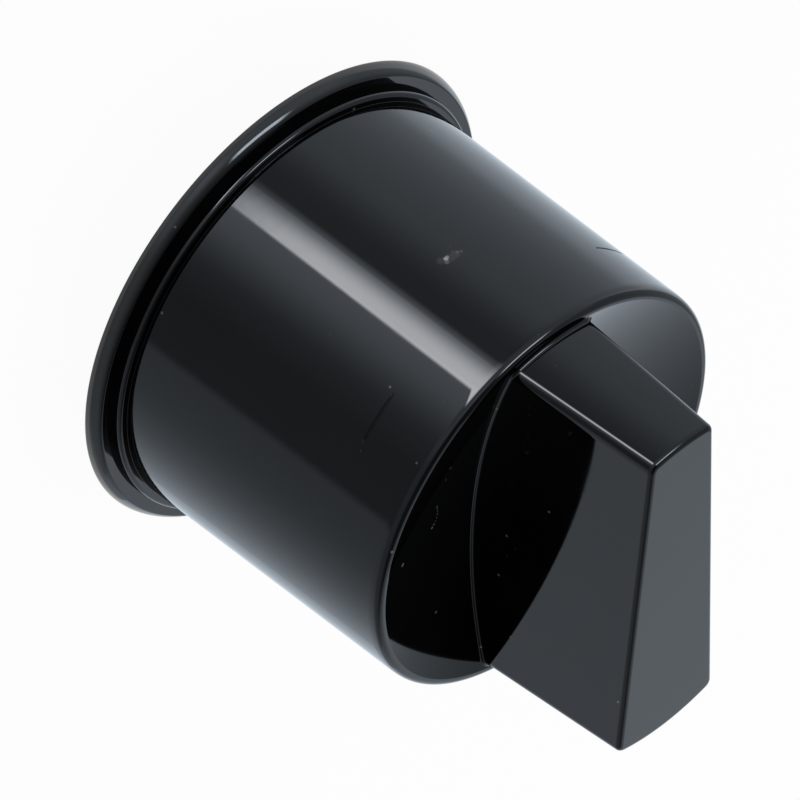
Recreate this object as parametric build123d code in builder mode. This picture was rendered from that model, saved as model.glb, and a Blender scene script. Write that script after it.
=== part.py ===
from build123d import *
import os
from math import radians, tan

# Steam knob of an espresso machine: one moulding with a flange, a drafted round body with a dished end
# and a wedge-shaped grip. It is cored out from behind, round a boss with a D-shaped spindle socket.
# Millimetres. The origin is on the knob's axis in the flange's back face, +Z runs to the grip, and the
# narrow pointer end of the grip looks along +Y.

# Flange with a thin edge and a wide bevel, and the low collar round the body's foot
flange_radius = 20.0
flange_ledge = 2.28
flange_thickness = 1.25
flange_edge = 0.25
flange_bevel = 0.6
collar_ledge = 0.7
collar_height = 0.87
collar_edge_bevel = 0.2

# Round body
body_draft = 0.9
rim_height = 28.0
rim_round = 0.65
rim_land = 0.12

# Dish in the front end
dish_depth = 2.72

# Grip, a wedge in plan that stands across the dish, with its width given at the axis and at the rim
grip_rise = 13.03
grip_width = 9.84
grip_wedge = 3.48
grip_draft = 3.72
grip_end_setback = 1.18
grip_end_draft = 2.2
grip_edge_round = 0.6
grip_root_bevel = 0.25

# Moulding walls behind
body_wall = 2.0
roof_wall = 2.2
grip_wall = 2.5
rib_thickness = 1.2
rib_count = 4
rib_angle = 45.0
rib_recess = 6.0

# Boss and socket for the valve spindle
spindle_diameter = 6.0
spindle_flat_depth = 1.0
spindle_clearance = 0.05
socket_depth = 14.0
socket_lead_in = 0.5
boss_wall = 1.9
boss_recess = 2.0
relief_diameter = 4.0

body_slope = tan(radians(body_draft))
grip_slope = tan(radians(grip_draft))
grip_end_slope = tan(radians(grip_end_draft))
wedge_slope = tan(radians(grip_wedge))
foot_height = flange_thickness + collar_height
body_base_radius = flange_radius - flange_ledge
collar_radius = body_base_radius + collar_ledge
rim_radius = body_base_radius - rim_height * body_slope
dish_radius = rim_radius - rim_round - rim_land
dish_ball = (dish_radius**2 + dish_depth**2) / (2 * dish_depth)
dish_bottom = rim_height - dish_depth
ball_centre = dish_bottom + dish_ball
roof_bottom = dish_bottom - roof_wall
grip_height = rim_height + grip_rise
pocket_top = grip_height - roof_wall
socket_radius = spindle_diameter / 2 + spindle_clearance
socket_flat = socket_radius - spindle_flat_depth
socket_end = boss_recess + socket_depth
boss_radius = socket_radius + boss_wall


def body_radius(height):
    return body_base_radius - height * body_slope


def grip_form(inset, top):
    # Drafted wedge with round ends, its faces set in from the grip's own by the inset.
    base_rise = roof_bottom - rim_height
    height = top - roof_bottom
    half_width = grip_width / 2 - inset - base_rise * grip_slope
    end_radius = rim_radius - grip_end_setback - inset - base_rise * grip_end_slope
    reach = flange_radius
    flare = reach * wedge_slope
    with BuildPart() as form:
        with BuildSketch(Plane.XY.offset(roof_bottom)):
            with BuildLine():
                Polyline(
                    (half_width - flare, reach),
                    (flare - half_width, reach),
                    (-half_width - flare, -reach),
                    (half_width + flare, -reach),
                    close=True,
                )
            make_face()
        extrude(amount=height, taper=grip_draft)
        with BuildSketch(Plane.XZ):
            with BuildLine():
                Polyline(
                    (0, roof_bottom),
                    (end_radius, roof_bottom),
                    (end_radius - height * grip_end_slope, top),
                    (0, top),
                    close=True,
                )
            make_face()
        revolve(axis=Axis.Z, mode=Mode.INTERSECT)
    return form.part


with BuildPart() as grip:
    add(grip_form(0, grip_height))
    fillet(grip.edges().filter_by(lambda edge: edge.center().Z > roof_bottom), grip_edge_round)

# Space behind the walls: a round cavity under the dish and the pocket up into the grip, round boss and ribs
with BuildPart() as core:
    with BuildSketch(Plane.XZ):
        with BuildLine():
            Polyline(
                (0, 0),
                (body_radius(0) - body_wall, 0),
                (body_radius(rim_height) - body_wall, rim_height),
                (0, rim_height),
                close=True,
            )
        make_face()
        with Locations((0, ball_centre)):
            Circle(dish_ball + roof_wall, mode=Mode.SUBTRACT)
    revolve(axis=Axis.Z)
    with BuildSketch(Plane.XY.offset(rib_recess)):
        with PolarLocations(0, rib_count, rib_angle):
            Rectangle(flange_radius, rib_thickness, align=(Align.MIN, Align.CENTER))
    extrude(amount=rim_height - rib_recess, mode=Mode.SUBTRACT)
    add(grip_form(grip_wall, pocket_top))
    with BuildSketch(Plane.XY.offset(boss_recess)):
        Circle(boss_radius)
    extrude(amount=grip_height - boss_recess, mode=Mode.SUBTRACT)

with BuildPart() as knob:
    # Flange, collar, body and dished end as one turned form
    with BuildSketch(Plane.XZ) as half_section:
        with BuildLine():
            Polyline(
                (0, dish_bottom),
                (0, 0),
                (flange_radius, 0),
                (flange_radius, flange_edge),
                (flange_radius - flange_bevel, flange_thickness),
                (collar_radius, flange_thickness),
                (collar_radius, foot_height),
                (body_radius(foot_height), foot_height),
                (rim_radius, rim_height),
                (dish_radius, rim_height),
            )
            RadiusArc((dish_radius, rim_height), (0, dish_bottom), dish_ball)
        make_face()
        chamfer(half_section.vertices().sort_by_distance((collar_radius, foot_height))[0], collar_edge_bevel)
        fillet(half_section.vertices().sort_by_distance((rim_radius, rim_height))[0], rim_round)
    revolve(axis=Axis.Z)

    # The grip, with a small bevel where it stands in the dish
    add(grip.part)
    chamfer(knob.edges(Select.NEW), grip_root_bevel)
    add(core.part, mode=Mode.SUBTRACT)

    # Socket with one flat, a lead-in at its mouth and a narrower relief above the spindle's end
    with BuildSketch(Plane.XY.offset(boss_recess)):
        Circle(socket_radius)
        with Locations((0, -socket_flat)):
            Rectangle(
                2 * socket_radius,
                spindle_flat_depth,
                align=(Align.CENTER, Align.MAX),
                mode=Mode.SUBTRACT,
            )
    extrude(amount=socket_depth, mode=Mode.SUBTRACT)
    boss_end = knob.faces().filter_by_position(Axis.Z, boss_recess, boss_recess)[0]
    chamfer(boss_end.inner_wires()[0].edges(), socket_lead_in)
    with BuildSketch(Plane.XY.offset(socket_end)):
        Circle(relief_diameter / 2)
    extrude(amount=pocket_top - socket_end, mode=Mode.SUBTRACT)

os.makedirs("parts", exist_ok=True)
knob.part.label = "steam_knob"
export_step(knob.part, "parts/steam_knob.step")
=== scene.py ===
from math import asin, atan, cos, degrees, hypot, pi, radians, sin, tan

import bmesh
import bpy
import numpy as np
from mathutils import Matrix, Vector


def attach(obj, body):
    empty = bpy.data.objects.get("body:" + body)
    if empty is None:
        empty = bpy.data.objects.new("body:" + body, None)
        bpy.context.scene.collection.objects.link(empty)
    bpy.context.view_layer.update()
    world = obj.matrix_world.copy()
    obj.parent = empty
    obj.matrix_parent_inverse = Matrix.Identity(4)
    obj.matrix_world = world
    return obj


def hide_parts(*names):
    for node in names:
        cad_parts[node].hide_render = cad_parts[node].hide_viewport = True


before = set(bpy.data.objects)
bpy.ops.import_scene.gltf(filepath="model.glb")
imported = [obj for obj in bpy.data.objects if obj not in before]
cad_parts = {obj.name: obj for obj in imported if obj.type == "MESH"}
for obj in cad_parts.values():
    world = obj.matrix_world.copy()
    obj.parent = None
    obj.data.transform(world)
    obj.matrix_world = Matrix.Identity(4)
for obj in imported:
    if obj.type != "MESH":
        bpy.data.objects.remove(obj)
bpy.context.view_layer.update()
scene = bpy.context.scene
scene.view_settings.view_transform = "Standard"
mm = 0.001
print("frame loaded:", sorted(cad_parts))


class Wire:
    # an output socket; arithmetic on it adds Math nodes to its tree
    def __init__(self, tree, socket=None):
        self.tree = tree
        self.socket = socket

    # any node: its settings first, then the values or links of its sockets
    def node(self, kind, settings=None, sockets=None, out=0):
        made = self.tree.nodes.new(kind)
        for name, value in (settings or {}).items():
            setattr(made, name, value)
        for key, value in (sockets or {}).items():
            if isinstance(value, Wire):
                self.tree.links.new(value.socket, made.inputs[key])
            else:
                made.inputs[key].default_value = value
        return Wire(self.tree, made.outputs[out] if made.outputs else None)

    def math(self, operation, *values):
        return self.node("ShaderNodeMath", {"operation": operation}, dict(enumerate(values)))

    def __add__(self, other):
        return self.math("ADD", self, other)

    def __radd__(self, other):
        return self.math("ADD", other, self)

    def __sub__(self, other):
        return self.math("SUBTRACT", self, other)

    def __rsub__(self, other):
        return self.math("SUBTRACT", other, self)

    def __mul__(self, other):
        return self.math("MULTIPLY", self, other)

    def __rmul__(self, other):
        return self.math("MULTIPLY", other, self)

    def __truediv__(self, other):
        return self.math("DIVIDE", self, other)

    def most(self, other):
        return self.math("MAXIMUM", self, other)

    # 0 at low, 1 at high, eased between; low may be the larger one
    def ease(self, low, high):
        ends = {"Value": self, "From Min": low, "From Max": high}
        return self.node("ShaderNodeMapRange", {"interpolation_type": "SMOOTHSTEP"}, ends)


# knob: one closed skin, rows of points from the relief hole's end, out over the flange, to the grip's front

knob = {  # millimetres and degrees, as in the CAD part
    "flangeRadius": 20.0,
    "flangeTop": 1.25,
    "flangeEdge": 0.2,
    "flangeBackEdge": 0.1,
    "flangeBevel": 0.6,
    "bevelCrown": 1.6,
    "ledgeEdge": 0.2,
    "collarRadius": 18.42,
    "collarTop": 2.12,
    "collarEdge": 0.35,
    "footRound": 0.03,
    "bodyRadius": 17.72,
    "bodyDraft": 0.9,
    "rimHeight": 28.0,
    "rimRound": 0.55,
    "rimCrown": 3.0,
    "rimCrownTilt": 12.0,
    "rimWidth": 0.77,
    "dishEdge": 0.25,
    "dishDepth": 2.72,
    "gripTop": 41.03,
    "gripHalf": 4.92,
    "gripWedge": 3.48,
    "gripDraft": 3.72,
    "gripSetback": 1.18,
    "gripEndDraft": 2.2,
    "gripCorner": 0.8,
    "gripEdge": 0.45,
    "gripRoot": 0.3,
    "bodyWall": 2.0,
    "roofWall": 2.2,
    "gripWall": 2.5,
    "ribThickness": 1.2,
    "ribAngle": 45.0,
    "ribBottom": 6.0,
    "bossRadius": 4.95,
    "bossBottom": 2.0,
    "socketRadius": 3.05,
    "socketFlat": 2.05,
    "socketTop": 16.0,
    "leadIn": 0.5,
    "reliefRadius": 2.0,
    "lineHeight": 22.3,
    "lineAngle": 46.5,
    "lineSpan": 13.0,
    "lineFade": 0.6,
    "lineWidth": 0.2,
    "lineDepth": 0.05,
}

bodySlope = tan(radians(knob["bodyDraft"]))
wedge = tan(radians(knob["gripWedge"]))
draft = tan(radians(knob["gripDraft"]))
endDraft = tan(radians(knob["gripEndDraft"]))
rimRadius = knob["bodyRadius"] - knob["rimHeight"] * bodySlope
gripEnd = rimRadius - knob["gripSetback"]
dishRadius = rimRadius - knob["rimWidth"]
dishBall = (dishRadius**2 + knob["dishDepth"] ** 2) / (2 * knob["dishDepth"])
ballCentre = knob["rimHeight"] - knob["dishDepth"] + dishBall
pocketTop = knob["gripTop"] - knob["roofWall"]


def bodyRadiusAt(z):
    return knob["bodyRadius"] - z * bodySlope


def cavityRadiusAt(z):
    return bodyRadiusAt(z) - knob["bodyWall"]


# height of a sphere's lower side at distance r from the axis, for the dish and for the roof under it
def dishHeight(r):
    return ballCentre - np.sqrt(dishBall**2 - r**2)


def roofHeight(r):
    return ballCentre - np.sqrt((dishBall + knob["roofWall"]) ** 2 - r**2)


# points on a circle about (r, z) between two angles
def arcRows(r, z, radius, start, end, count):
    angle = np.radians(np.linspace(start, end, count))
    return np.column_stack([r + radius * np.cos(angle), z + radius * np.sin(angle)])


roofEdge = 24.0  # where the roof meets the cavity's wall
for step in range(20):
    roofEdge = float(roofHeight(cavityRadiusAt(roofEdge)))

# where round the axis the ribs, the grip's pockets and the socket's flat begin and end
ribHalf = knob["ribThickness"] / 2
ribTurns = [degrees(asin(ribHalf / r)) for r in
            (knob["bossRadius"], cavityRadiusAt(roofEdge), cavityRadiusAt(knob["ribBottom"]))]
pocketTurns = []
for z in (float(roofHeight(knob["bossRadius"])), pocketTop):
    halfAtAxis = knob["gripHalf"] - knob["gripWall"] - (z - knob["rimHeight"]) * draft
    lean = degrees(np.arccos(halfAtAxis / knob["bossRadius"] / hypot(1, wedge)))
    pocketTurns += [knob["gripWedge"] + lean, knob["gripWedge"] - lean]
flatTurns = [-degrees(asin((knob["socketFlat"] + widen) / (knob["socketRadius"] + widen)))
             for widen in (0, knob["leadIn"])]


# The grip's half outline at height z, tail to pointer, and its outward normals. The side lies on
# x + wedge y = h(z), the ends on a circle of radius end(z), and a small circle that touches both rounds
# each corner. stretch says which of the five a column is on, along how far it has gone.
def gripCorners(z):
    reach = (knob["gripHalf"] - (z - knob["rimHeight"]) * draft) / hypot(1, wedge) - knob["gripCorner"]
    end = gripEnd - (z - knob["rimHeight"]) * endDraft
    swing = np.sqrt((end - knob["gripCorner"]) ** 2 - reach**2)
    return reach, end, swing


def gripOutline(z, stretch, along):
    reach, end, swing = gripCorners(z)
    sideAngle = atan(wedge)
    normal = np.array([1, wedge]) / hypot(1, wedge)
    tangent = np.array([-wedge, 1]) / hypot(1, wedge)
    tail = reach * normal[:, None] - swing * tangent[:, None]
    pointer = reach * normal[:, None] + swing * tangent[:, None]
    tailAngle = np.arctan2(tail[1], tail[0])
    pointerAngle = np.arctan2(pointer[1], pointer[0])
    angle = np.choose(stretch, [
        -pi / 2 + along * (tailAngle + pi / 2),
        tailAngle + along * (sideAngle - tailAngle),
        sideAngle + 0 * along,
        sideAngle + along * (pointerAngle - sideAngle),
        pointerAngle + along * (pi / 2 - pointerAngle),
    ])
    travel = np.choose(stretch, [0 * along, 0 * along, along, 0 * along + 1, 0 * along + 1])
    onEnd = (stretch == 0) | (stretch == 4)
    radius = np.where(onEnd, end, knob["gripCorner"])
    facing = np.array([np.cos(angle), np.sin(angle)])
    place = np.where(onEnd, 0, tail + travel * (pointer - tail)) + radius * facing
    return place.T, facing.T


# columns: even turns along the side, and more where something begins or ends
def gripColumns():
    reach, end, swing = gripCorners(knob["rimHeight"])
    turns = set(np.arange(-68, 74, 1.0)) | set(pocketTurns) | set(flatTurns)
    fades = knob["lineFade"] * np.array([-1, -0.5, 0, 0.5, 1])
    for side in (-1, 1):
        middle = side * knob["ribAngle"]
        turns |= {middle} | {middle + way * turn for turn in ribTurns for way in (-1, 1)}
        turns |= {side * knob["lineAngle"] + way * (knob["lineSpan"] / 2 + ease)
                  for way in (-1, 1) for ease in fades}
    turn = np.radians(sorted(turns))
    distance = (reach + knob["gripCorner"]) / np.cos(turn - atan(wedge))
    side = distance * np.sin(turn - atan(wedge)) / (2 * swing) + 0.5
    near = [0, 0.0015, 0.006, 0.02]
    middle = side[(side > near[-1]) & (side < 1 - near[-1])]
    side = np.unique(np.round(np.concatenate([near, middle, 1 - np.array(near[1:])]), 9))
    corner = np.linspace(0, 1, 10)[:-1]
    tailEnd = np.concatenate([np.linspace(0, 0.95, 20), [0.98, 0.994]])
    pointerEnd = 1 - np.concatenate([[1, 0.994, 0.98], np.linspace(0.95, 0, 15)])
    parts = [tailEnd, corner, side, corner[1:], pointerEnd]
    stretch = np.concatenate([np.full(len(part), number) for number, part in enumerate(parts)])
    return stretch, np.concatenate(parts)


stretch, along = gripColumns()
columnCount = len(along)
flat, facing = gripOutline(np.full(columnCount, knob["rimHeight"]), stretch, along)
turn = np.arctan2(flat[:, 1], flat[:, 0])
compass = np.column_stack([np.cos(turn), np.sin(turn)])


# a row round the axis at radius r and height z
def turned(r, z):
    r, z = np.broadcast_to(r, turn.shape), np.broadcast_to(z, turn.shape)
    return np.column_stack([r[:, None] * compass, z])


# The moulding seen from behind, as radius and height for each column: relief hole, socket, boss end, then
# the rib's lower edge and side, the grip's pocket, the roof and the cavity's wall.
def innerRows():
    boss, ribBottom = knob["bossRadius"], knob["ribBottom"]
    gap = np.abs(np.abs(turn) - radians(knob["ribAngle"]))
    ribReach = ribHalf / np.maximum(np.sin(gap), 1e-6)
    wallTop = np.clip((knob["bodyRadius"] - knob["bodyWall"] - ribReach) / bodySlope, ribBottom, roofEdge)
    down = np.where(compass[:, 1] < 0, -compass[:, 1], 1e-6)
    socket = np.minimum(knob["socketRadius"], knob["socketFlat"] / down)
    mouth = np.minimum(knob["socketRadius"] + knob["leadIn"], (knob["socketFlat"] + knob["leadIn"]) / down)

    ribFoot = np.clip(ribReach, boss, cavityRadiusAt(ribBottom))
    ribHead = np.minimum(np.maximum(ribReach, boss), cavityRadiusAt(wallTop))
    ribFills = ribReach >= cavityRadiusAt(roofEdge) - 1e-9
    ribHeadHeight = np.where(ribFills, wallTop, roofHeight(ribHead))

    lean = compass[:, 0] + wedge * compass[:, 1]
    pocketHalf = knob["gripHalf"] - knob["gripWall"]
    ceiling = knob["rimHeight"] + (pocketHalf - boss * lean) / draft
    ceiling = np.clip(ceiling, roofHeight(boss), pocketTop)
    inPocket = (ceiling > roofHeight(boss) + 1e-6) & (ribReach < boss)

    def pocketReach(z):
        rise = z - knob["rimHeight"]
        sideReach = (pocketHalf - rise * draft) / np.maximum(lean, 1e-6)
        return np.maximum(np.minimum(sideReach, gripEnd - knob["gripWall"] - rise * endDraft), boss)

    pocketFoot = pocketReach(np.full(columnCount, roofEdge))
    for step in range(12):
        pocketFoot = pocketReach(roofHeight(pocketFoot))

    rows = [
        (0, pocketTop),
        (knob["reliefRadius"], pocketTop),
        (knob["reliefRadius"], knob["socketTop"]),
        (socket, knob["socketTop"]),
        (socket, knob["bossBottom"] + knob["leadIn"]),
        (mouth, knob["bossBottom"]),
        (boss, knob["bossBottom"]),
        (boss, ribBottom),
        (ribFoot, ribBottom),
        (ribHead, ribHeadHeight),
        (np.where(inPocket, boss, ribHead), np.where(inPocket, ceiling, ribHeadHeight)),
        (np.where(inPocket, pocketReach(ceiling), ribHead), np.where(inPocket, ceiling, ribHeadHeight)),
    ]
    start = np.where(inPocket, pocketFoot, ribHead)
    for part in np.linspace(0, 1, 8):
        r = start + part * (cavityRadiusAt(wallTop) - start)
        rows.append((r, np.where(ribFills, wallTop, roofHeight(r))))
    rows.append((cavityRadiusAt(ribBottom), ribBottom))
    rows.append((cavityRadiusAt(0), 0))
    return [turned(r, z) for r, z in rows]


# Flange, collar, body and rim as one turned profile. The body's wall sinks by a smooth bump at each of
# the four short mould lines.
def outerRows():
    flange, collar = knob["flangeRadius"], knob["collarRadius"]
    top, ledge, back = knob["flangeTop"], knob["collarTop"], knob["flangeBackEdge"]
    small, foot, ledgeEdge = knob["collarEdge"], knob["footRound"], knob["ledgeEdge"]
    bevel, bevelIn, bevelUp = knob["bevelCrown"], knob["flangeBevel"], top - knob["flangeEdge"]
    bevelTilt = degrees(atan(bevelIn / bevelUp))
    halfSwing = degrees(asin(hypot(bevelIn, bevelUp) / 2 / bevel))
    startTilt = bevelTilt - halfSwing
    bevelMiddle = flange - bevel * cos(radians(startTilt))
    bevelBase = knob["flangeEdge"] - bevel * sin(radians(startTilt))
    ledgeTilt = degrees(asin((top - ledgeEdge - bevelBase) / (bevel - ledgeEdge)))
    ledgeMiddle = bevelMiddle + (bevel - ledgeEdge) * cos(radians(ledgeTilt))
    near = 0.03  # rows this close to a round keep its shading from spreading
    wallFoot = bodyRadiusAt(ledge)
    rimRound, crownRound, crownTilt = knob["rimRound"], knob["rimCrown"], radians(knob["rimCrownTilt"])
    rimBase = knob["rimHeight"] - rimRound
    crownBase = rimBase + (rimRound - crownRound) * sin(crownTilt)
    rimStart = crownBase + crownRound * sin(radians(knob["bodyDraft"]))
    crownMiddle = bodyRadiusAt(rimStart) - crownRound * cos(radians(knob["bodyDraft"]))
    rimMiddle = crownMiddle + (crownRound - rimRound) * cos(crownTilt)
    dishSlope = degrees(asin(dishRadius / dishBall))
    dishMiddle = dishRadius + knob["dishEdge"] * tan(radians(dishSlope / 2))

    low = np.concatenate([
        [[flange - back - near, 0]],
        arcRows(flange - back, back, back, -90, 0, 6),
        arcRows(bevelMiddle, bevelBase, bevel, startTilt, ledgeTilt, 14),
        arcRows(ledgeMiddle, top - ledgeEdge, ledgeEdge, ledgeTilt, 90, 8),
        [[ledgeMiddle - near, top], [collar + near, top], [collar, top], [collar, top + near / 2]],
        [[collar, ledge - small - near]],
        arcRows(collar - small, ledge - small, small, 0, 90, 7),
        [[collar - small - near / 2, ledge], [wallFoot + foot + near, ledge]],
        arcRows(wallFoot + foot, ledge + foot, foot, 270, 180, 9),
    ])
    lineRows = np.array([-1.6, -0.9, -0.55, -0.4, -0.25, 0, 0.25, 0.4, 0.55, 0.9, 1.6])
    wall = np.concatenate([
        [ledge + foot + near, ledge + foot + 0.3],
        np.linspace(4, 21, 12),
        knob["lineHeight"] + knob["lineWidth"] * lineRows,
        np.linspace(23.4, rimStart - 0.4, 4),
        [rimStart - near],
    ])
    high = np.concatenate([
        arcRows(crownMiddle, crownBase, crownRound, knob["bodyDraft"], knob["rimCrownTilt"], 8)[:-1],
        arcRows(rimMiddle, rimBase, rimRound, knob["rimCrownTilt"], 90, 14),
        arcRows(dishMiddle, knob["rimHeight"] - knob["dishEdge"], knob["dishEdge"], 90, 90 + dishSlope, 5),
    ])
    rows = [turned(r, z) for r, z in low]
    gap = np.degrees(np.abs(np.abs(turn) - radians(knob["lineAngle"])))
    inLine = np.clip((knob["lineSpan"] / 2 + knob["lineFade"] - gap) / (2 * knob["lineFade"]), 0, 1)
    for z in wall:
        reach = np.clip(1 - abs(z - knob["lineHeight"]) / (0.55 * knob["lineWidth"]), 0, 1)
        rows.append(turned(bodyRadiusAt(z) - knob["lineDepth"] * min(1, 2 * reach) * inLine, z))
    return rows + [turned(r, z) for r, z in high], high[-1][0]


# Dish and grip. The dish runs on its sphere from the rim's circle to the grip's root; a ball rolled along
# the root gives the concave round; the wall follows the outline as it shrinks with height; the front edge
# is a quarter round and the front face closes to the axis.
def gripRows(dishStart):
    def outlineAt(z):
        return gripOutline(np.broadcast_to(z, turn.shape), stretch, along)

    height = np.full(columnCount, knob["rimHeight"] - knob["dishDepth"])
    for step in range(30):
        flat, facing = outlineAt(height)
        height = dishHeight(np.hypot(*flat.T))
    above, ignore = outlineAt(height + 1)
    shrink = np.sum((flat - above) * facing, axis=1)
    wallNormal = np.column_stack([facing, shrink]) / np.hypot(1, shrink)[:, None]
    rootLine = np.column_stack([flat, height])
    dishNormal = (np.array([0, 0, ballCentre]) - rootLine) / dishBall
    meet = 1 + np.sum(wallNormal * dishNormal, axis=1)[:, None]
    ball = rootLine + knob["gripRoot"] * (wallNormal + dishNormal) / meet

    def rootRow(part):
        way = dishNormal + part * (wallNormal - dishNormal)
        return ball - knob["gripRoot"] * way / np.linalg.norm(way, axis=1)[:, None]

    wallStart = rootRow(1)
    trueStart = np.column_stack([outlineAt(wallStart[:, 2])[0], wallStart[:, 2]])
    root = [rootRow(part) + part * (trueStart - wallStart) for part in np.linspace(0, 1, 9)]

    rows = []
    for part in [0.004, 0.015, 0.04, 0.09, 0.16, 0.24, 0.33, 0.42,
                 0.52, 0.62, 0.71, 0.8, 0.87, 0.93, 0.97, 0.99]:
        spot = (1 - part) * dishStart * compass + part * root[0][:, :2]
        rows.append(np.column_stack([spot, dishHeight(np.hypot(*spot.T))]))
    rows += root

    edge = knob["gripEdge"]
    edgeBase = knob["gripTop"] - edge
    tilt = np.arctan(shrink)
    wallEnd = edgeBase + edge * np.sin(tilt)
    for part in [0.003, 0.012, 0.04, 0.1, 0.2, 0.3, 0.4, 0.5, 0.6, 0.7, 0.8, 0.9, 0.97, 0.992, 0.998]:
        z = wallStart[:, 2] + part * (wallEnd - wallStart[:, 2])
        rows.append(np.column_stack([outlineAt(z)[0], z]))
    flat, facing = outlineAt(edgeBase)
    middle = flat - facing * (edge / np.cos(tilt))[:, None]
    for part in np.linspace(0, 1, 9):
        angle = tilt + part * (pi / 2 - tilt)
        rows.append(np.column_stack([
            middle + edge * np.cos(angle)[:, None] * facing,
            edgeBase + edge * np.sin(angle),
        ]))
    for part in [0.995, 0.97, 0.85, 0.6, 0.3, 0]:
        rows.append(np.column_stack([middle * part, np.full(columnCount, knob["gripTop"])]))
    return rows


# rows of the right half, mirrored for the left, joined by quads
def buildSkin():
    outer, dishStart = outerRows()
    half = np.stack(innerRows() + outer + gripRows(dishStart))
    points = np.concatenate([half, half[:, -2:0:-1] * [-1, 1, 1]], axis=1)
    rowCount, ringCount = points.shape[:2]
    row, column = np.meshgrid(np.arange(rowCount - 1), np.arange(ringCount), indexing="ij")
    after = (column + 1) % ringCount
    quads = np.stack([row * ringCount + column, row * ringCount + after,
                      (row + 1) * ringCount + after, (row + 1) * ringCount + column], axis=-1)
    mesh = bpy.data.meshes.new("knobSkin")
    mesh.from_pydata((points.reshape(-1, 3) * mm).tolist(), [], quads.reshape(-1, 4).tolist())
    work = bmesh.new()
    work.from_mesh(mesh)
    bmesh.ops.remove_doubles(work, verts=work.verts, dist=1e-7)
    bmesh.ops.recalc_face_normals(work, faces=work.faces)
    work.to_mesh(mesh)
    work.free()
    mesh.shade_smooth()
    mesh.set_sharp_from_angle(angle=radians(30))
    skin = bpy.data.objects.new("knobSkin", mesh)
    scene.collection.objects.link(skin)
    return skin


skin = buildSkin()
print("knob skin:", len(skin.data.vertices), "points,", len(skin.data.polygons), "faces")

plastic = {
    "darkest": (0.0008, 0.0008, 0.0009, 1),
    "palest": (0.0014, 0.0014, 0.0016, 1),
    "ior": 1.5,
    "roughness": 0.04,
    "smudge": 0.03,
    "smudgeSpread": (0.45, 0.75),
    "cloudSize": 7.6923,  # mm
    "cloudSpread": (0.3, 0.7),
    "peelSize": 1.5,  # mm
    "peelHeight": 0.0006,  # mm
    "paintedSheenTone": (0.025, 0.0265, 0.028, 1),  # painted sheen: a paler base colour on the flange's rounded edge, in place of the grey that edge reflects
    "paintedSheenFrom": (19.4, 19.72),  # mm from the axis
    "dustTone": (0.55, 0.54, 0.52, 1),
    "dustRoughness": 0.7,
    "speckSpacing": 2.0,  # mm
    "speckRadius": 0.06,  # mm
    "speckShare": 0.12,
}

# worn and dusty spots: place and radius in millimetres, and how far the colour goes to the dust's
marks = [
    ((-0.6, 17.43, 17.78), 0.24, 0.7),  # chip in the pointer's side of the body: a bright core and a haze
    ((-0.42, 17.43, 17.72), 0.18, 0.5),
    ((-0.78, 17.42, 18.05), 0.24, 0.2),
    ((-0.3, 17.43, 17.95), 0.5, 0.05),
    ((0.2, 17.43, 17.95), 0.45, 0.05),
    ((0.45, 17.43, 17.88), 0.18, 0.16),
    ((0.72, 17.42, 18.02), 0.16, 0.12),
    ((0.2, 17.43, 17.62), 0.14, 0.08),
    ((-1.0, 17.41, 17.65), 0.4, 0.05),
    ((-9.83, 4.73, 26.45), 0.13, 0.22),  # lint in the dish
    ((-9.73, 4.38, 26.4), 0.1, 0.14),
    ((-9.65, 4.05, 26.36), 0.1, 0.14),
    ((-9.63, 3.71, 26.33), 0.1, 0.15),
    ((-9.7, 3.38, 26.32), 0.1, 0.14),
    ((-9.83, 3.06, 26.32), 0.1, 0.14),
    ((-10.0, 2.86, 26.35), 0.13, 0.25),
    ((-10.21, 2.67, 26.38), 0.15, 0.32),
    ((-14.14, 2.53, 27.33), 0.2, 0.28),  # dust, one grain each
    ((-8.85, 8.45, 26.76), 0.14, 0.18),
    ((-9.17, 7.31, 26.64), 0.12, 0.15),
    ((-15.9, 5.87, 27.94), 0.15, 0.2),
    ((-4.89, -0.43, 28.83), 0.13, 0.18),
    ((-4.35, 4.72, 32.39), 0.13, 0.18),
    ((-5.41, -10.3, 30.11), 0.13, 0.18),
    ((-5.19, -4.86, 28.45), 0.13, 0.18),
    ((-9.87, -6.72, 26.69), 0.14, 0.18),
    ((-5.81, -13.32, 27.52), 0.13, 0.18),
    ((-4.36, 11.42, 26.88), 0.13, 0.18),
    ((-12.5, 11.95, 26.88), 0.12, 0.15),
    ((5.51, 16.98, 2.12), 0.16, 0.2),
    ((-14.43, 10.21, 2.56), 0.14, 0.18),
    ((-11.53, 15.96, 0.95), 0.13, 0.18),
    ((9.58, 14.79, 6.21), 0.14, 0.2),
    ((-10.13, 14.12, 21.74), 0.12, 0.25),
    ((-4.69, -9.5, 40.39), 0.12, 0.4),  # scratch on the grip's edge
    ((-4.58, -9.8, 40.65), 0.12, 0.4),
    ((-4.48, -10.09, 40.84), 0.12, 0.4),
]


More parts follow.
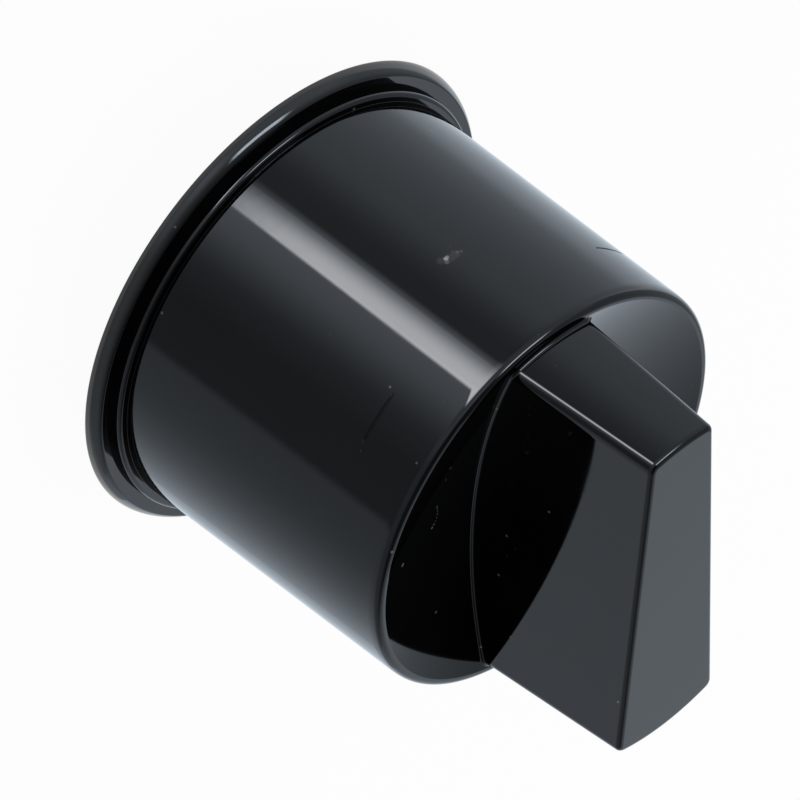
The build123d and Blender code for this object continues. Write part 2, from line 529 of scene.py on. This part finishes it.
def blackGloss():
    material = bpy.data.materials.new("blackGloss")
    material.use_nodes = True
    tree = material.node_tree
    tree.nodes.clear()
    start = Wire(tree)
    place = start.node("ShaderNodeTexCoord", out="Object")
    cloud = start.node("ShaderNodeTexNoise", {},
                       {"Vector": place, "Scale": 1 / (plastic["cloudSize"] * mm), "Detail": 4.0})
    peel = start.node("ShaderNodeTexNoise", {},
                      {"Vector": place, "Scale": 1 / (plastic["peelSize"] * mm), "Detail": 2.0})
    tone = start.node("ShaderNodeMix", {"data_type": "RGBA"},
                      {"Factor": cloud.ease(*plastic["cloudSpread"]),
                       "A": plastic["darkest"], "B": plastic["palest"]}, out=2)
    rough = plastic["roughness"] + plastic["smudge"] * cloud.ease(*plastic["smudgeSpread"])
    across, deep = [start.node("ShaderNodeSeparateXYZ", {}, {0: place}, out=axis) / mm for axis in "XY"]
    # painted sheen: outward from these radii the base colour turns paler, standing in for the flange edge's
    # reflection
    paintedSheen = start.math("SQRT", across * across + deep * deep).ease(*plastic["paintedSheenFrom"])
    tone = start.node("ShaderNodeMix", {"data_type": "RGBA"},
                      {"Factor": paintedSheen, "A": tone, "B": plastic["paintedSheenTone"]}, out=2)
    cells = {"Vector": place, "Scale": 1 / (plastic["speckSpacing"] * mm)}
    reach = plastic["speckRadius"] / plastic["speckSpacing"]
    grain = start.node("ShaderNodeTexVoronoi", {}, cells, out="Distance")
    dust = plastic["speckShare"] * grain.ease(reach, reach / 2)
    for spot, radius, share in marks:
        ends = {0: place, 1: [along * mm for along in spot]}
        gap = start.node("ShaderNodeVectorMath", {"operation": "DISTANCE"}, ends, out="Value")
        dust = dust.most(share * gap.ease(radius * mm, radius * mm / 2))
    tone = start.node("ShaderNodeMix", {"data_type": "RGBA"},
                      {"Factor": dust, "A": tone, "B": plastic["dustTone"]}, out=2)
    rough = rough + plastic["dustRoughness"] * dust
    bump = start.node("ShaderNodeBump", {},
                      {"Height": peel, "Distance": plastic["peelHeight"] * mm, "Strength": 1.0})
    shader = start.node("ShaderNodeBsdfPrincipled", {},
                        {"Base Color": tone, "Roughness": rough, "Normal": bump, "IOR": plastic["ior"]})
    start.node("ShaderNodeOutputMaterial", {}, {"Surface": shader})
    return material


skin.data.materials.append(blackGloss())
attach(skin, "root")
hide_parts("steam_knob")
print("plastic set")

studio = {
    "floorSpan": 3,  # metres
    "floorDrop": -2e-5,
    "floorTone": (0.9, 0.9, 0.9, 1),
    "floorNear": (3.8, 5.2),  # mm, how far gloss sees the floor
    "floorWhite": 0.94,  # share of plain white that the camera sees
    "roomLight": 0.55,  # plain light on what is not glossy
    "keyBox": {"from": (0.3, -0.45, 0.85), "distance": 0.8, "size": (0.5, 0.5), "radiance": 3.0},
    "tint": (0.89, 1.0, 1.12, 1),  # the room, cooler than the strip lamp
    "stripTint": (0.98, 1.0, 1.05, 1),
    "strip": 8.6,
    "glow": 1.1,
    "lamp": 9.0,
    "lost": 0.75,  # share of the light that a second bounce between black walls takes, by its polarisation
}


def flatStage(name, corners):
    mesh = bpy.data.meshes.new(name)
    mesh.from_pydata(corners, [], [(0, 1, 2, 3)])
    made = bpy.data.objects.new(name, mesh)
    scene.collection.objects.link(made)
    return made


# pale floor: plain white to the camera but for a faint shadow; gloss sees it close by only
def floorMaterial():
    material = bpy.data.materials.new("paleFloor")
    material.use_nodes = True
    tree = material.node_tree
    tree.nodes.clear()
    start = Wire(tree)
    seen = start.node("ShaderNodeLightPath", out="Is Camera Ray")
    gloss = start.node("ShaderNodeLightPath", out="Is Glossy Ray")
    white = start.node("ShaderNodeEmission", {}, {"Color": (1, 1, 1, 1), "Strength": 1.0})
    paint = start.node("ShaderNodeBsdfDiffuse", {}, {"Color": studio["floorTone"]})
    whiteness = seen.most(gloss) * studio["floorWhite"]
    mixed = start.node("ShaderNodeMixShader", {}, {0: whiteness, 1: paint, 2: white})
    away = start.node("ShaderNodeLightPath", out="Ray Length") / mm
    clear = start.node("ShaderNodeBsdfTransparent")
    unseen = gloss * away.ease(*studio["floorNear"])
    whole = start.node("ShaderNodeMixShader", {}, {0: unseen, 1: mixed, 2: clear})
    start.node("ShaderNodeOutputMaterial", {}, {"Surface": whole})
    return material


span, drop = studio["floorSpan"], studio["floorDrop"]
corners = [(-span, -span, drop), (span, -span, drop), (span, span, drop), (-span, span, drop)]
floor = flatStage("floor", corners)
floor.data.materials.append(floorMaterial())


room = {
    # bearings in degrees, 0 to the front and 90 to the left; heights as the z of a direction;
    # over a pair of them, a mask goes from 0 to 1
    "stripRight": (-4, 12),
    "stripLeft": (16, 14),
    "stripLean": (30, -0.46),  # degrees for each unit of height, and where it starts
    "stripFoot": (-0.482, -0.462),
    "stripHead": (-0.1, -0.2),
    "glowRight": (13, 15),
    "glowLeft": (50, 14),
    # a level, then what each stretch of bearings adds to it
    "floorLevel": 0.33,
    "floorSteps": [(0.42, (-10, -38)), (0.2, (-85, -100)), (-0.1, (45, 65)),
                   (0.28, (91, 97)), (0.3, (115, 175))],
    "paperLevel": 0.6,
    "paperSteps": [(-0.25, (40, 62)), (0.2, (118, 160)), (0.5, (-30, -85))],
    "paperRise": (-0.25, -0.16),
    "wallLevel": 0.36,
    "wallFront": (0.34, (60, 35), (-80, -50)),
    "wallGlow": (0.35, (-5, 12), (35, 16)),
    "wallRise": (0.0, 0.1),
    "wallEnd": (0.75, 0.3),
    "roofLevel": (0.12, 0.41, (-0.2, 0.5), 0.4),  # left, more to the right, edge, and its fall overhead
    "backPanel": (0.52, (0.2, -0.98), (0.84, 0.92), 0.35),  # level, way, edge, and its fall overhead
    "lampAcross": ((-40, -30), (2, -8)),
    "lampUp": ((0.5, 0.57), (0.73, 0.66)),
}


# The room, by direction. Below the horizon: a strip lamp in front with a leaning left edge, a glow beside
# it, a dark left and a paler right and back, then a belt of paper. Above: a wall, a pale back panel, a dim
# roof and a small lamp in front. Light that has bounced twice between black walls is dimmed.
def lightRoom():
    world = bpy.data.worlds.new("room")
    scene.world = world
    world.use_nodes = True
    world.node_tree.nodes.clear()
    start = Wire(world.node_tree)
    way = start.node("ShaderNodeTexCoord", out="Generated")
    x, y, z = [start.node("ShaderNodeSeparateXYZ", {}, {0: way}, out=axis) for axis in "XYZ"]
    bearing = start.math("ARCTAN2", 0 - x, y) * degrees(1)

    lean, leanStart = room["stripLean"]
    strip = (bearing.ease(*room["stripRight"]) * (bearing - lean * (z - leanStart)).ease(*room["stripLeft"])
             * z.ease(*room["stripFoot"]) * z.ease(*room["stripHead"]))
    glow = bearing.ease(*room["glowRight"]) * bearing.ease(*room["glowLeft"])
    low = room["floorLevel"] + studio["glow"] * glow
    for step, over in room["floorSteps"]:
        low = low + step * bearing.ease(*over)
    paper = room["paperLevel"]
    for step, over in room["paperSteps"]:
        paper = paper + step * bearing.ease(*over)
    wall = room["wallLevel"]
    for step, left, right in (room["wallFront"], room["wallGlow"]):
        wall = wall + step * bearing.ease(*left) * bearing.ease(*right)

    level = start.math("SQRT", x * x + y * y)
    panel, (panelX, panelY), panelEdge, panelFall = room["backPanel"]
    back = ((panelX * x + panelY * y) / level).ease(*panelEdge)
    roofLeft, roofRight, roofSpan, roofFall = room["roofLevel"]
    roof = (roofLeft + roofRight * x.ease(*roofSpan)) * (1 - roofFall * z)
    high = roof + panel * back * (1 - panelFall * z)
    below = low + z.ease(*room["paperRise"]) * (paper - low)
    above = high + z.ease(*room["wallEnd"]) * (wall.most(high) - high)
    rise = z.ease(*room["wallRise"])
    lamp = 1
    for edge in room["lampAcross"]:
        lamp = lamp * bearing.ease(*edge)
    for edge in room["lampUp"]:
        lamp = lamp * z.ease(*edge)
    grey = below + rise * (above - below) + studio["lamp"] * lamp
    stripHere = strip * (1 - rise)
    keep = 1 - studio["lost"] * start.node("ShaderNodeLightPath", out="Glossy Depth").ease(1, 2)
    colour = start.node("ShaderNodeMix", {"data_type": "RGBA"},
                        {"Factor": stripHere, "A": studio["tint"], "B": studio["stripTint"]}, out=2)
    strength = (grey + studio["strip"] * stripHere) * keep
    studioLight = start.node("ShaderNodeBackground", {}, {"Color": colour, "Strength": strength})

    seen = start.node("ShaderNodeLightPath", out="Is Camera Ray")
    gloss = start.node("ShaderNodeLightPath", out="Is Glossy Ray")
    clear = start.node("ShaderNodeLightPath", out="Is Transmission Ray")
    plainStrength = studio["roomLight"] + (1 - studio["roomLight"]) * seen.most(clear)
    plain = start.node("ShaderNodeBackground", {}, {"Color": (1, 1, 1, 1), "Strength": plainStrength})
    whole = start.node("ShaderNodeMixShader", {}, {0: gloss, 1: plain, 2: studioLight})
    start.node("ShaderNodeOutputWorld", {}, {"Surface": whole})


lightRoom()


# a soft lamp aimed at the knob; its power gives the radiance asked for
def softbox(name, settings):
    light = bpy.data.lights.new(name, "AREA")
    light.shape = "RECTANGLE"
    light.size, light.size_y = settings["size"]
    light.energy = settings["radiance"] * pi * light.size * light.size_y
    made = bpy.data.objects.new(name, light)
    scene.collection.objects.link(made)
    way = Vector(settings["from"]).normalized()
    made.location = way * settings["distance"]
    made.rotation_euler = way.to_track_quat("Z", "Y").to_euler()
    made.visible_camera = False
    made.visible_glossy = False
    return made


softbox("keyBox", studio["keyBox"])

cameraView = {  # metres and degrees
    "place": (-0.2604861, 0.4004962, 0.2670739),
    "turn": (-48.74737, -44.7414, 1.21301),
    "lens": 328.4054,
}
lensData = bpy.data.cameras.new("camera")
lensData.lens = cameraView["lens"]
lensData.sensor_width = 36
lensData.clip_start = 0.01
camera = bpy.data.objects.new("camera", lensData)
camera.location = cameraView["place"]
camera.rotation_euler = [radians(angle) for angle in cameraView["turn"]]
scene.collection.objects.link(camera)
scene.camera = camera
print("studio set")
